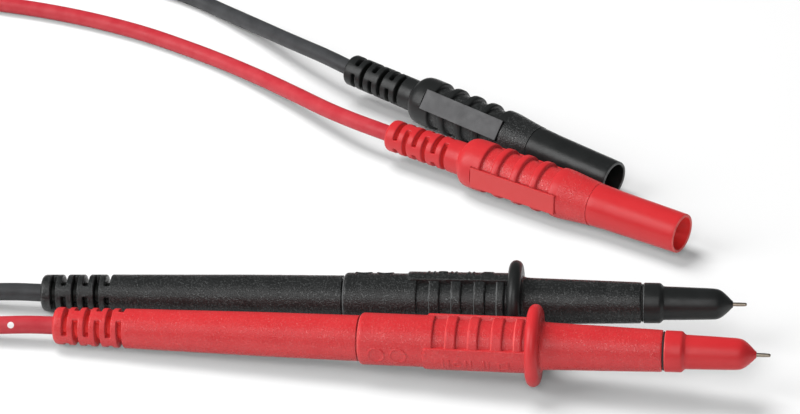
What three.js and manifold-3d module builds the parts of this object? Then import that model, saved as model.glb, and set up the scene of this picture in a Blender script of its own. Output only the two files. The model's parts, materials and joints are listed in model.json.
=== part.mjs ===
// A pair of test leads for a multimeter, one black and one red.
// Each lead is a slim probe with a spring-loaded needle, a flexible cable and a shrouded 4 mm plug.
// Millimetres, +Z up, standing on z = 0. +X runs from the probes' tails to their tips, +Y to the plugs.
import * as THREE from "three";
import { mergeVertices } from "three/addons/utils/BufferGeometryUtils.js";
import Module from "manifold-3d";

const wasm = await Module();
wasm.setup();

// ---- driving dimensions -------------------------------------------------------------------
const GAP = 0.3; // clearance between neighbouring solids
const SIDES = 20; // flats round a turned piece
const FACET = 360 / SIDES; // degrees that one flat spans
const CABLE_R = 1.75; // cable jacket
const CORE_R = 0.7; // stripped copper core
const BORE_R = CABLE_R + GAP; // every bore that the cable runs through

// Stations are measured along a probe or plug from its cable end.
const PROBE = {
  tailR: 3.6, // strain relief at the cable end
  edge: 0.8, // length of the rounding at that end
  shoulder: 59.7, // where the thicker grip starts
  sleeveEndR: 4.38,
  spigotR: 3.5, // the sleeve's reduced end inside the grip
  spigotEnd: 70,
  gripR: 4.95,
  recessStart: 74.1,
  recessR: 4.3,
  ribs: [[76.5, 78.6], [80.8, 82.8], [85.2, 87.4], [89.5, 91.1]],
  railStart: 72.2,
  railR: 5.35,
  railHalfAngle: 2 * FACET,
  guardStart: 91.8,
  guardEnd: 94.4,
  guardR: 7.85,
  barrelR: 4.5, // in front of the finger guard
  barrelEnd: 117.3,
  barrelEndR: 3.95,
  collarStart: 117.7,
  collarEnd: 120.9,
  collarR: 3.9,
  noseStart: 121.6,
  noseR: 3.25,
  ogiveStart: 131.3,
  ogiveR: 3.0,
  noseEnd: 134.8,
  tipEnd: 137.45,
  needleR: 0.38,
};
const PLUG = {
  tailR: 3.42,
  strainEndR: 3.5,
  edge: 0.8,
  shoulder: 18.9,
  bodyStart: 21.3,
  bodyR: 5.3,
  recessStart: 25.1,
  recessR: 4.55,
  ribs: [[27.75, 29.45], [32.4, 34.1], [37.05, 38.75]],
  coneStart: 41.75,
  gripEnd: 50.7,
  gripEndR: 4.52,
  panelStart: 23.3,
  panelEnd: 43.75,
  panelHalfWidth: 2.3,
  panelHeight: 5.38, // from the axis to the flat
  shroudR: 4.45,
  mouthR: 4.1, // 8.2 mm outside at the open end
  mouthBoreR: 3.45,
  mouthFloor: 53.5,
  end: 71.0,
  pinEnd: 67.8,
  pinR: 1.7,
  contactR: 2.0, // the 4 mm contact
};
const SLOTS = 6;
const SLOT_WIDTH = 1.0;
const WEB_HALF_ANGLE = FACET; // half of the web left between two slots
const SCREW_TRAVEL = 3.0; // how far the nose cap unscrews before it is free

// Where each piece lies: the cable end's place on the table, then its turn to the front in degrees.
const LAYOUT = {
  black: {
    probe: { at: [-69.5, -28.0], turn: 5.94, roll: 65.2, slotRoll: -14 },
    plug: { at: [-10.05, 59.1], turn: 38.9, dip: 1.9, roll: 142 },
  },
  red: {
    probe: { at: [-66.0, -39.8], turn: 8.4, roll: 198.2, slotRoll: 0 },
    plug: { at: [-1.17, 31.66], turn: 34.2, dip: 0.3, roll: 180.5 },
  },
};

// The spare cable is wound into a coil of two layers that lies beside the probes' tails.
const COIL = {
  meanR: 11 * CABLE_R, // to the middle of the turns
  turnsPerLayer: 2.9,
  lift: 0.8, // the tie passes under the coil
};
COIL.halfBand = (COIL.turnsPerLayer * 2 * CABLE_R) / 2 + CABLE_R;
COIL.innerR = COIL.meanR - COIL.halfBand;
COIL.outerR = COIL.meanR + COIL.halfBand;
COIL.height = 4 * CABLE_R;
const TIE = { width: 6, thickness: 0.5 };

// Routes from the probe's cable end to the coil, and from the coil to the plug's cable end.
const ROUTES = {
  black: {
    coilAt: [-116.5, -3],
    tieTurn: 15,
    probeRun: [
      [-69.8, -27.97, 3.57], [-74.8, -27.5, 3.5], [-81, -27, 3.1], [-88.5, -26.8, 2.5],
      [-97.5, -27.1, 2.05], [-105.5, -27.3, 2.2], [-113.1, -27.09, 2.55],
    ],
    plugRun: [
      [-132.13, -21.63, 6.05], [-138.5, -16.3, 4.6], [-146.5, -10.6, 2.5], [-155.5, -5.4, 1.75],
      [-165, 0.5, 1.75], [-173.5, 9, 1.75], [-179.5, 21, 1.75], [-182, 37, 1.75],
      [-181.5, 55, 1.75], [-177.5, 73, 1.75], [-169, 89, 1.75], [-156, 101.5, 1.75],
      [-139.5, 109.5, 1.75], [-120.5, 114, 1.75], [-100.5, 116.4, 1.75], [-82.5, 116, 1.75],
      [-66.5, 113, 1.75], [-55, 108.2, 1.75], [-46.1, 101.6, 1.75], [-40.5, 96, 2.0],
      [-35.4, 90.2, 2.6], [-30.5, 84.2, 3.4], [-25.7, 77.9, 4.4], [-21.1, 72, 5.35],
      [-16.95, 67, 6.05], [-13.75, 63.2, 6.42], [-10.28, 59.29, 6.59],
    ],
  },
  red: {
    coilAt: [-128.5, 67],
    tieTurn: -20,
    probeRun: [
      [-66.3, -39.76, 3.57], [-71.1, -39.4, 3.5], [-77.5, -39, 3.1], [-85.5, -38.3, 2.4],
      [-94.5, -38.6, 1.85], [-104.5, -40.3, 1.75], [-115.5, -41.9, 1.75], [-127, -41.8, 1.75],
      [-138, -38.4, 1.75], [-147, -31.4, 1.95], [-152.8, -21.8, 3.3], [-155.5, -11, 5.2],
      [-156.5, -1, 5.6], [-156.8, 9, 4.6], [-156.5, 19, 2.7], [-155.7, 30, 1.8], [-154.3, 43, 1.8],
      [-153.2, 55, 2.25], [-152.82, 67, 2.55],
    ],
    plugRun: [
      [-144.77, 85.07, 6.05], [-139.1, 90.2, 5.3], [-132, 95.6, 3.8], [-123.5, 100.2, 2.4],
      [-113.5, 102.7, 1.8], [-102.5, 102.2, 1.75], [-91.5, 99.7, 1.75], [-83.1, 97.1, 1.75],
      [-75.5, 94.2, 1.75], [-66.5, 90, 1.75], [-57, 84.6, 1.75], [-47.3, 77.8, 1.75],
      [-38.5, 70.6, 1.95], [-29.8, 61.9, 2.6], [-21.9, 52.8, 3.5], [-15.1, 44.6, 4.4],
      [-9.3, 38.2, 5.25], [-5.1, 34.6, 5.5], [-1.42, 31.83, 5.5],
    ],
  },
};
const ROUTE_STEP = 9.5; // length of one straight step of a cable run

const COLOURS = {
  black: new THREE.Color(0.035, 0.036, 0.038),
  blackCable: new THREE.Color(0.07, 0.072, 0.075),
  red: new THREE.Color(0.62, 0.03, 0.045),
  redCable: new THREE.Color(0.66, 0.04, 0.06),
  steel: new THREE.Color(0.42, 0.38, 0.33),
  spring: new THREE.Color(0.55, 0.55, 0.56),
  nickel: new THREE.Color(0.7, 0.68, 0.62),
  brass: new THREE.Color(0.72, 0.55, 0.28),
  copper: new THREE.Color(0.72, 0.4, 0.26),
  seal: new THREE.Color(0.02, 0.02, 0.02),
  tie: new THREE.Color(0.09, 0.09, 0.1),
};

// ---- making solids -------------------------------------------------------------------------
function signedVolume(positions, triangles) {
  const corner = (i) => new THREE.Vector3().fromArray(positions, 3 * triangles[i]);
  let six = 0;
  for (let i = 0; i < triangles.length; i += 3) {
    six += corner(i).dot(corner(i + 1).cross(corner(i + 2)));
  }
  return six / 6;
}

// A closed three.js geometry as a manifold solid that faces out.
function toSolid(geometry) {
  const bare = geometry.clone();
  bare.deleteAttribute("normal");
  bare.deleteAttribute("uv");
  const merged = mergeVertices(bare, 1e-4);
  const positions = merged.attributes.position.array;
  const index = merged.index.array;
  const triangles = [];
  for (let i = 0; i < index.length; i += 3) {
    const [a, b, c] = [index[i], index[i + 1], index[i + 2]];
    if (a !== b && b !== c && c !== a) {
      triangles.push(a, b, c);
    }
  }
  if (signedVolume(positions, triangles) < 0) {
    triangles.reverse();
  }
  const mesh = new wasm.Mesh({
    numProp: 3,
    vertProperties: new Float32Array(positions),
    triVerts: new Uint32Array(triangles),
  });
  return new wasm.Manifold(mesh);
}

// A manifold solid as a named three.js mesh.
function toMesh(name, solid, colour, roughness, metalness = 0) {
  const found = solid.getMesh();
  const geometry = new THREE.BufferGeometry();
  const positions = new Float32Array(found.numVert * 3);
  for (let i = 0; i < found.numVert; i += 1) {
    positions.set(found.vertProperties.subarray(i * found.numProp, i * found.numProp + 3), i * 3);
  }
  geometry.setAttribute("position", new THREE.BufferAttribute(positions, 3));
  geometry.setIndex(Array.from(found.triVerts));
  geometry.computeVertexNormals();
  const material = new THREE.MeshStandardMaterial({ color: colour, roughness, metalness });
  const mesh = new THREE.Mesh(geometry, material);
  mesh.name = name;
  return mesh;
}

// A solid turned about the X axis from [station, radius] points that start and end on the axis.
function turned(profile, sides = SIDES) {
  const points = profile.map(([station, radius]) => new THREE.Vector2(radius, station));
  const geometry = new THREE.LatheGeometry(points, sides);
  geometry.rotateZ(-Math.PI / 2);
  return toSolid(geometry);
}

// The same for an outline that closes on itself, so the solid has a bore.
function turnedRing(profile, sides = SIDES) {
  return turned([...profile, profile[0]], sides);
}

// Part of a tube about the X axis, between two angles in degrees from +Y towards +Z.
function sector(innerR, outerR, fromAngle, toAngle, start, end) {
  const from = THREE.MathUtils.degToRad(fromAngle);
  const to = THREE.MathUtils.degToRad(toAngle);
  const shape = new THREE.Shape();
  shape.absarc(0, 0, outerR, from, to, false);
  shape.absarc(0, 0, innerR, to, from, true);
  const arcsPerSegment = 2; // three.js splits an arc into twice the curveSegments
  const curveSegments = Math.round((toAngle - fromAngle) / FACET / arcsPerSegment);
  const options = { depth: end - start, bevelEnabled: false, curveSegments, steps: 1 };
  const geometry = new THREE.ExtrudeGeometry(shape, options);
  const alongX = new THREE.Matrix4().makeBasis(
    new THREE.Vector3(0, 1, 0),
    new THREE.Vector3(0, 0, 1),
    new THREE.Vector3(1, 0, 0),
  );
  geometry.applyMatrix4(alongX);
  geometry.translate(start, 0, 0);
  return toSolid(geometry);
}

// A section swept along a curve, with closed ends.
function swept(curve, radius, sides, steps) {
  const section = new THREE.Shape();
  for (let i = 0; i < sides; i += 1) {
    const angle = ((i + 0.5) / sides) * 2 * Math.PI;
    const point = [radius * Math.cos(angle), radius * Math.sin(angle)];
    if (i === 0) {
      section.moveTo(...point);
    } else {
      section.lineTo(...point);
    }
  }
  section.closePath();
  return toSolid(new THREE.ExtrudeGeometry(section, { extrudePath: curve, steps, bevelEnabled: false }));
}

// Cuts the strain relief's slots. Each station has two slots with a web between them on either side,
// and the webs of every second station are turned by a quarter. slotRoll turns the whole pattern.
function cutSlots(body, firstStation, pitch, outerR, slotRoll = 0) {
  let cut = body;
  for (let i = 0; i < SLOTS; i += 1) {
    const centre = firstStation + i * pitch;
    const webAngle = slotRoll + (i % 2 === 0 ? 0 : 90);
    for (const side of [0, 180]) {
      const from = webAngle + side + WEB_HALF_ANGLE;
      const to = webAngle + side + 180 - WEB_HALF_ANGLE;
      const slot = sector(
        BORE_R - 0.1, outerR + 1, from, to, centre - SLOT_WIDTH / 2, centre + SLOT_WIDTH / 2,
      );
      cut = cut.subtract(slot);
    }
  }
  return cut;
}

function rounded(start, radius, edge) {
  return [[start, radius - 0.6 * edge], [start + 0.6 * edge, radius]];
}

// ---- the probe -----------------------------------------------------------------------------
function rearSleeve(slotRoll) {
  const p = PROBE;
  const outline = [
    [0, BORE_R],
    ...rounded(0, p.tailR, p.edge),
    [p.shoulder - GAP, p.sleeveEndR],
    [p.shoulder - GAP, p.spigotR],
    [p.spigotEnd, p.spigotR],
    [p.spigotEnd, BORE_R],
  ];
  const firstSlot = 2.5;
  const slotPitch = 2.16;
  return cutSlots(turnedRing(outline), firstSlot, slotPitch, p.tailR, slotRoll);
}

const THREAD_BORE_R = 2.8;
const SEAL_BORE_R = 3.45;
const SEAL_BORE_START = 116;
const THREAD_BORE_START = 108.8;

function gripBody() {
  const p = PROBE;
  const outline = [
    [p.shoulder, p.spigotR + GAP],
    ...rounded(p.shoulder, p.gripR, p.edge),
    [p.guardStart, p.gripR],
    [p.guardStart, p.guardR - 0.65],
    [p.guardStart + 0.4, p.guardR - 0.15],
    [(p.guardStart + p.guardEnd) / 2, p.guardR],
    [p.guardEnd - 0.4, p.guardR - 0.15],
    [p.guardEnd, p.guardR - 0.65],
    [p.guardEnd, p.barrelR + 0.35],
    [p.guardEnd + 0.8, p.barrelR],
    [p.barrelEnd, p.barrelEndR],
    [p.barrelEnd, SEAL_BORE_R],
    [SEAL_BORE_START, SEAL_BORE_R],
    [SEAL_BORE_START, THREAD_BORE_R],
    [THREAD_BORE_START, THREAD_BORE_R],
    [THREAD_BORE_START, BORE_R],
    [p.spigotEnd + GAP, BORE_R],
    [p.spigotEnd + GAP, p.spigotR + GAP],
  ];
  let body = turnedRing(outline);
  const gaps = [p.recessStart, ...p.ribs.flat(), p.guardStart];
  for (const side of [0, 180]) {
    const from = side + p.railHalfAngle;
    const to = side + 180 - p.railHalfAngle;
    for (let i = 0; i < gaps.length; i += 2) {
      body = body.subtract(sector(p.recessR, p.gripR + 1, from, to, gaps[i], gaps[i + 1]));
    }
  }
  for (const side of [0, 180]) {
    const from = side - p.railHalfAngle;
    const to = side + p.railHalfAngle;
    body = body.add(sector(p.recessR, p.railR, from, to, p.railStart, p.guardStart + 0.5));
  }
  return body;
}

function noseCap() {
  const p = PROBE;
  const spigotR = THREAD_BORE_R - GAP;
  const boreR = 1.3;
  const holeR = 0.55;
  return turnedRing([
    [THREAD_BORE_START + GAP, boreR],
    [THREAD_BORE_START + GAP, spigotR],
    [p.collarStart, spigotR],
    [p.collarStart, p.collarR - 0.1],
    [p.collarStart + 0.2, p.collarR],
    [p.collarEnd, p.collarR],
    [p.noseStart, p.noseR],
    [p.ogiveStart, p.ogiveR],
    [132.1, 2.8],
    [132.8, 2.42],
    [133.5, 1.87],
    [134.1, 1.27],
    [134.6, 0.72],
    [p.noseEnd, holeR],
    [131, holeR],
    [130.6, boreR],
  ]);
}

// The seal fills the end of the barrel, and its thin lip stands in the seam in front of it.
function noseSeal() {
  const lipStart = PROBE.barrelEnd + 0.1;
  const lipEnd = PROBE.collarStart - 0.1;
  return turnedRing([
    [SEAL_BORE_START + GAP, THREAD_BORE_R],
    [SEAL_BORE_START + GAP, SEAL_BORE_R - GAP],
    [lipStart, SEAL_BORE_R - GAP],
    [lipStart, PROBE.barrelEndR - 0.25],
    [lipEnd, PROBE.barrelEndR - 0.25],
    [lipEnd, THREAD_BORE_R],
  ], 16);
}

const SPRING = { start: 88.4, end: 99.9, meanR: 0.9, wireR: 0.17, turns: 9 };

function tipNeedle() {
  const p = PROBE;
  const headStart = SPRING.end + GAP;
  return turned([
    [headStart, 0], [headStart, 1.0], [106, 1.0], [106, 0.75], [121, 0.75], [122, p.needleR],
    [p.tipEnd - 0.1, 0.3], [p.tipEnd, 0.22], [p.tipEnd, 0],
  ], 12);
}

function contactTube() {
  const outerR = 1.7;
  return turned([
    [85, 0], [85, 1.0], [80, 1.0], [80, outerR], [108, outerR], [108, 0.95],
    [106.3, 0.95], [106.3, 1.25], [88, 1.25], [88, 0],
  ], 16);
}

class Helix extends THREE.Curve {
  getPoint(t, target = new THREE.Vector3()) {
    const angle = t * SPRING.turns * 2 * Math.PI;
    const along = THREE.MathUtils.lerp(SPRING.start + SPRING.wireR, SPRING.end - SPRING.wireR, t);
    return target.set(along, SPRING.meanR * Math.cos(angle), SPRING.meanR * Math.sin(angle));
  }
}

function tipSpring() {
  return swept(new Helix(), SPRING.wireR, 4, SPRING.turns * 7);
}

function rod(start, end, radius, sides = 16) {
  return turned([[start, 0], [start, radius], [end, radius], [end, 0]], sides);
}

// ---- the plug ------------------------------------------------------------------------------
const INSERT_START = 29; // the rigid insert that carries the pin starts inside the grip here
const INSERT_R = 3.45;

function plugGrip() {
  const p = PLUG;
  const outline = [
    [0, BORE_R],
    ...rounded(0, p.tailR, p.edge),
    [p.shoulder, p.strainEndR],
    [p.shoulder + 0.5, 4.2],
    [p.shoulder + 1.3, 5.0],
    [p.bodyStart, p.bodyR],
    [p.recessStart, p.bodyR],
    [p.recessStart, p.recessR],
  ];
  for (const [from, to] of p.ribs) {
    outline.push([from, p.recessR], [from, p.bodyR], [to, p.bodyR], [to, p.recessR]);
  }
  outline.push(
    [p.coneStart, p.recessR],
    [p.coneStart, p.bodyR - 0.2],
    [p.coneStart + 1.6, p.bodyR - 0.1],
    [46, 4.98],
    [p.gripEnd, p.gripEndR],
    [p.gripEnd, INSERT_R + GAP],
    [INSERT_START, INSERT_R + GAP],
    [INSERT_START, BORE_R],
  );
  let body = turnedRing(outline);
  for (const side of [1, -1]) {
    const rootHeight = 4.0;
    const panel = new THREE.BoxGeometry(
      p.panelEnd - p.panelStart, p.panelHeight - rootHeight, 2 * p.panelHalfWidth,
    );
    panel.translate(
      (p.panelStart + p.panelEnd) / 2, (side * (p.panelHeight + rootHeight)) / 2, 0,
    );
    body = body.add(toSolid(panel));
  }
  const firstSlot = 2.9;
  const slotPitch = 2.4;
  return cutSlots(body, firstSlot, slotPitch, p.tailR);
}

function plugShroud() {
  const p = PLUG;
  const pinBoreR = p.pinR + GAP;
  return turnedRing([
    [INSERT_START + GAP, pinBoreR],
    [INSERT_START + GAP, INSERT_R],
    [p.gripEnd + GAP, INSERT_R],
    [p.gripEnd + GAP, p.shroudR],
    [54.8, 4.3],
    [p.end - 0.3, p.mouthR],
    [p.end, p.mouthR - 0.1],
    [p.end, p.mouthBoreR],
    [p.mouthFloor, p.mouthBoreR],
    [p.mouthFloor, pinBoreR],
  ]);
}

const CONTACT = { start: 55.6, end: 64.8, boreR: 1.5 };

function plugPin() {
  const p = PLUG;
  const neckR = CONTACT.boreR - GAP;
  return turned([
    [23, 0], [23, 1.0], [18.5, 1.0], [18.5, p.pinR], [CONTACT.start - GAP, p.pinR],
    [CONTACT.start - GAP, neckR], [CONTACT.end + GAP, neckR], [CONTACT.end + GAP, 1.6],
    [p.pinEnd - 1.1, 1.5], [p.pinEnd - 0.3, 1.1], [p.pinEnd, 0.4], [p.pinEnd, 0],
  ], 16);
}

function contactCage() {
  const { start, end, boreR } = CONTACT;
  return turnedRing([
    [start, boreR], [start, 1.75], [start + 1.6, 1.95], [(start + end) / 2, PLUG.contactR],
    [end - 1.6, 1.95], [end, 1.75], [end, boreR],
  ]);
}

// ---- the cable -----------------------------------------------------------------------------
// A ring round the Z axis that holds all of a coil's turns, grown on every side by extra.
function coilRing(extra = 0) {
  const innerR = COIL.innerR - extra;
  const outerR = COIL.outerR + extra;
  const low = COIL.lift - extra;
  const high = COIL.lift + COIL.height + extra;
  const points = [[innerR, low], [outerR, low], [outerR, high], [innerR, high], [innerR, low]];
  const geometry = new THREE.LatheGeometry(points.map(([r, z]) => new THREE.Vector2(r, z)), 36);
  geometry.rotateX(Math.PI / 2);
  return toSolid(geometry);
}

// A strap round the coil's turns, lying across the +X side of the coil's centre.
function coilTie() {
  const { width, thickness } = TIE;
  const reach = (radius) => Math.sqrt(radius * radius - (width * width) / 4);
  const inner = [reach(COIL.innerR) - GAP, COIL.outerR + GAP];
  const low = COIL.lift - GAP;
  const high = COIL.lift + COIL.height + GAP;
  const rectangle = (path, grow) => {
    path.moveTo(inner[0] - grow, low - grow);
    path.lineTo(inner[1] + grow, low - grow);
    path.lineTo(inner[1] + grow, high + grow);
    path.lineTo(inner[0] - grow, high + grow);
    path.closePath();
    return path;
  };
  const strap = rectangle(new THREE.Shape(), thickness);
  strap.holes.push(rectangle(new THREE.Path(), 0));
  const geometry = new THREE.ExtrudeGeometry(strap, { depth: width, bevelEnabled: false, steps: 1 });
  geometry.rotateX(Math.PI / 2);
  geometry.translate(0, width / 2, 0);
  return toSolid(geometry);
}

function cableRun(points, coilAt) {
  const curve = new THREE.CatmullRomCurve3(points.map((p) => new THREE.Vector3(...p)), false, "centripetal");
  const steps = Math.max(4, Math.round(curve.getLength() / ROUTE_STEP));
  const tube = swept(curve, CABLE_R, 7, steps);
  return tube.subtract(coilRing(GAP).translate([coilAt[0], coilAt[1], 0]));
}

// ---- putting a lead together ---------------------------------------------------------------
// Rolls a piece about its own X axis, tips it up by pitch and turns its front end towards -Y.
function placed(meshes, [x, y], z, turn, pitch, roll) {
  const group = new THREE.Group();
  group.position.set(x, y, z);
  group.rotation.order = "ZYX";
  group.rotation.set(roll, -pitch, THREE.MathUtils.degToRad(-turn));
  group.add(...meshes);
  return group;
}

function probe(lead, skin) {
  const { at, turn, roll, slotRoll } = LAYOUT[lead].probe;
  const p = PROBE;
  const meshes = [
    toMesh(`${lead}_rear_sleeve`, rearSleeve(slotRoll), skin, 0.55),
    toMesh(`${lead}_grip_body`, gripBody(), skin, 0.5),
    toMesh(`${lead}_nose_cap`, noseCap(), skin, 0.45),
    toMesh(`${lead}_nose_seal`, noseSeal(), COLOURS.seal, 0.6),
    toMesh(`${lead}_tip_needle`, tipNeedle(), COLOURS.steel, 0.3, 1),
    toMesh(`${lead}_tip_spring`, tipSpring(), COLOURS.spring, 0.35, 1),
    toMesh(`${lead}_contact_tube`, contactTube(), COLOURS.brass, 0.35, 1),
    toMesh(`${lead}_core_in_probe`, rod(78.3, 84.7, CORE_R, 12), COLOURS.copper, 0.4, 1),
    toMesh(`${lead}_cable_in_probe`, rod(0, 78, CABLE_R), COLOURS[`${lead}Cable`], 0.5),
  ];
  // The probe lies on its finger guard and on the edge of its strain relief.
  const guardStation = (p.guardStart + p.guardEnd) / 2;
  const pitch = Math.atan((p.guardR - p.tailR) / (guardStation - p.edge));
  const height = p.tailR * Math.cos(pitch) - p.edge * Math.sin(pitch);
  return placed(meshes, at, height, turn, pitch, THREE.MathUtils.degToRad(roll));
}

function plug(lead, skin) {
  const { at, turn, dip, roll } = LAYOUT[lead].plug;
  const p = PLUG;
  const meshes = [
    toMesh(`${lead}_plug_grip`, plugGrip(), skin, 0.55),
    toMesh(`${lead}_plug_shroud`, plugShroud(), skin, 0.35),
    toMesh(`${lead}_plug_pin`, plugPin(), COLOURS.nickel, 0.3, 1),
    toMesh(`${lead}_contact_cage`, contactCage(), COLOURS.brass, 0.3, 1),
    toMesh(`${lead}_core_in_plug`, rod(16.3, 22.7, CORE_R, 12), COLOURS.copper, 0.4, 1),
    toMesh(`${lead}_cable_in_plug`, rod(0, 16, CABLE_R), COLOURS[`${lead}Cable`], 0.5),
  ];
  // The plug lies on its ribs, and may dip towards its mouth.
  const pitch = -THREE.MathUtils.degToRad(dip);
  const lastRib = p.ribs.at(-1)[1];
  const height = p.bodyR * Math.cos(pitch) - lastRib * Math.sin(pitch);
  return placed(meshes, at, height, turn, pitch, THREE.MathUtils.degToRad(roll));
}

function cable(lead, jacket) {
  const { coilAt, tieTurn, probeRun, plugRun } = ROUTES[lead];
  const coil = toMesh(`${lead}_cord_coil`, coilRing(), jacket, 0.5);
  coil.position.set(coilAt[0], coilAt[1], 0);
  const tie = toMesh(`${lead}_coil_tie`, coilTie(), COLOURS.tie, 0.8);
  tie.position.set(coilAt[0], coilAt[1], 0);
  tie.rotation.z = THREE.MathUtils.degToRad(tieTurn);
  return [
    toMesh(`${lead}_cord_probe_run`, cableRun(probeRun, coilAt), jacket, 0.5),
    coil,
    toMesh(`${lead}_cord_plug_run`, cableRun(plugRun, coilAt), jacket, 0.5),
    tie,
  ];
}

const testLeads = new THREE.Group();
for (const lead of ["black", "red"]) {
  testLeads.add(probe(lead, COLOURS[lead]), plug(lead, COLOURS[lead]), ...cable(lead, COLOURS[`${lead}Cable`]));
}

export default testLeads;
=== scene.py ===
"""Looks of a pair of multimeter test leads: two needle probes, their cables and two shrouded plugs.

Nearly every piece of a probe or plug is a skin laid round its axis. A skin is a list of rows, and a row
is a station along the axis with its radius, or with its radii all round where the surface has slots,
ribs, rails or flat panels. Stations and radii are in millimetres, angles in degrees. The cables are
curves, and each tie is a strap swept round its coil.
"""

import json
import math

import bpy
import numpy as np
from mathutils import Matrix, Vector


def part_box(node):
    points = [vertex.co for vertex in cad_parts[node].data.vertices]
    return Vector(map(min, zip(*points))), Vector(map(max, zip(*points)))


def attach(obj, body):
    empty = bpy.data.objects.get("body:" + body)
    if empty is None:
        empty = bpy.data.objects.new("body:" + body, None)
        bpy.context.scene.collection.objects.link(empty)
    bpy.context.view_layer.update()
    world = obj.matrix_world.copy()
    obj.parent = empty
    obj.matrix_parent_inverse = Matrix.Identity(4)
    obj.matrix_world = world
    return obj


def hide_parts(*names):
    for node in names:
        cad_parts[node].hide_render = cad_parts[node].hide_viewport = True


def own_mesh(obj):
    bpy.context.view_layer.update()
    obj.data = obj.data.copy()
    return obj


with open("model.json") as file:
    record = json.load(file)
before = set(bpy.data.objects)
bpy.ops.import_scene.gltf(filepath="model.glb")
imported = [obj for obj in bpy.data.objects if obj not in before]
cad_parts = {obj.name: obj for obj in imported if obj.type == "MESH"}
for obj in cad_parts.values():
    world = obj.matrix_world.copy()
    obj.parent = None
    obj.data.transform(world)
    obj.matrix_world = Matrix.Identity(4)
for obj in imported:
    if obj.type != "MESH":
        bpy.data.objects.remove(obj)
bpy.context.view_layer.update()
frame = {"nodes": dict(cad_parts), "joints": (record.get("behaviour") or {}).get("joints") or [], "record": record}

MM = 0.001
LEADS = ("black", "red")
RAIL_ROLL = {"black": 65.2, "red": 198.2}  # the grip's rails, from level towards up
SLOT_ROLL = {"black": -14.0, "red": 0.0}  # the rear sleeve's slots, from the rails
PANEL_ROLL = {"black": 142.0, "red": 180.5}  # the plug's flat panels

# ---- driving dimensions: the same as the solids' ---------------------------------------------
CABLE_R = 1.75
BORE_R = 2.05  # for the cable
EDGE = 0.8  # end of a strain relief's rounded rear edge
SLOT_WIDTH = 1.0
SLOTS = 6
SLOT_FLOOR_R = 2.15
SLOT_WALL_R = 3.0  # inside this are only the bore and the slots' floors and walls
SLOTS_END = 17.0  # no slot of either strain relief reaches this far
WEB_HALF_ANGLE = 18

TAIL_R = 3.6
SLEEVE_FRONT = 59.4
SLEEVE_END = 70.0
SHOULDER = 59.7
RAIL_HALF_ANGLE = 36
RAIL_R = 5.35
RAIL_LEAD = 1.9  # how far the rails reach behind the recess
RECESS = (74.1, 91.8)
RECESS_R = 4.3
GRIP_R = 4.95
GRIP_RIBS = ((76.5, 78.6), (80.8, 82.8), (85.2, 87.4), (89.5, 91.1))
GUARD = (91.8, 94.4)
GUARD_R = 7.85
BARREL_END = 117.3
COLLAR_START = 117.7
SPIGOT_R = 2.34
THREAD_PITCH = 0.75
NOSE_END = 134.8
NEEDLE_HOLE_R = 0.5
HINGE_STATION = 117.7  # where the record puts the nose's hinge
TIP_END = 137.45
SPRING = (88.4, 99.9)  # between the contact tube's floor and the needle's head
SPRING_R = 0.9
SPRING_WIRE_R = 0.17
SPRING_TURNS = 9

PLUG_END = 71.0
PLUG_R = 5.3
PLUG_RECESS = (25.1, 41.75)
PLUG_RECESS_R = 4.55
PLUG_RIBS = ((27.75, 29.45), (32.4, 34.1), (37.05, 38.75))
PANEL = (23.3, 43.75)
PANEL_HEIGHT = 5.38
PANEL_HALF_WIDTH = 2.3
BAND = 23.0  # on the plain band, just behind the panels
GRIP_END = 50.7
INSERT_R = 3.75  # bore of the plug's grip for the insert that carries the pin
MOUTH_FLOOR = 53.5
MOUTH_R = 4.1
MOUTH_BORE_R = 3.45
RIM_POINT_R = 3.7  # where on the rim the record puts the mount
CAGE = (55.6, 64.8)
CAGE_BORE_R = 1.55
CAGE_END_R = 1.78
CAGE_BOW = 0.22  # how much further out the strips are at their middle


def linked(name, data):
    """A new object with that data, in the scene."""
    made = bpy.data.objects.new(name, data)
    bpy.context.scene.collection.objects.link(made)
    return made


# ---- where the pieces lie --------------------------------------------------------------------
def placement(axis, roll, point, station, own_y=0.0):
    """Matrix from a piece's millimetres to the row frame. point lies on it at that station and own Y."""
    along = Vector(axis).normalized()
    level = Vector((0, 0, 1)).cross(along).normalized()
    up = along.cross(level)
    turn = math.radians(roll)
    y_axis = math.cos(turn) * level + math.sin(turn) * up
    z_axis = math.cos(turn) * up - math.sin(turn) * level
    origin = Vector(point) - MM * (station * along + own_y * y_axis)
    matrix = Matrix((along * MM, y_axis * MM, z_axis * MM)).transposed().to_4x4()
    matrix.translation = origin
    return matrix


def on_axis(matrix, station):
    """A point on a piece's own axis, in the row frame."""
    return tuple(matrix @ Vector((station, 0, 0)))


joints = {joint["name"]: joint for joint in frame["joints"]}
mounts = {mount["name"]: mount for mount in frame["record"]["mounts"]}
probe_at = {}
plug_at = {}
for lead in LEADS:
    hinge = joints[f"{lead}_nose_turn"]
    probe_at[lead] = placement(hinge["axis"], RAIL_ROLL[lead], hinge["pos_m"], HINGE_STATION)
    rim = mounts[f"{lead}_plug_rim"]
    plug_at[lead] = placement(rim["axis"], PANEL_ROLL[lead], rim["pos_m"], PLUG_END, RIM_POINT_R)


# ---- camera ----------------------------------------------------------------------------------
def add_camera():
    aim = Vector((0.00057, 0.0109, 0.0))
    elevation = math.radians(30.8)
    distance = 0.65
    data = bpy.data.cameras.new("camera")
    data.lens = 140.7
    data.sensor_width = 36.0
    data.clip_start = 0.01
    data.clip_end = 10.0
    camera = linked("camera", data)
    camera.location = aim + distance * Vector((0, -math.cos(elevation), math.sin(elevation)))
    camera.rotation_euler = (math.pi / 2 - elevation, 0, 0)
    bpy.context.scene.camera = camera


add_camera()


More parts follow.
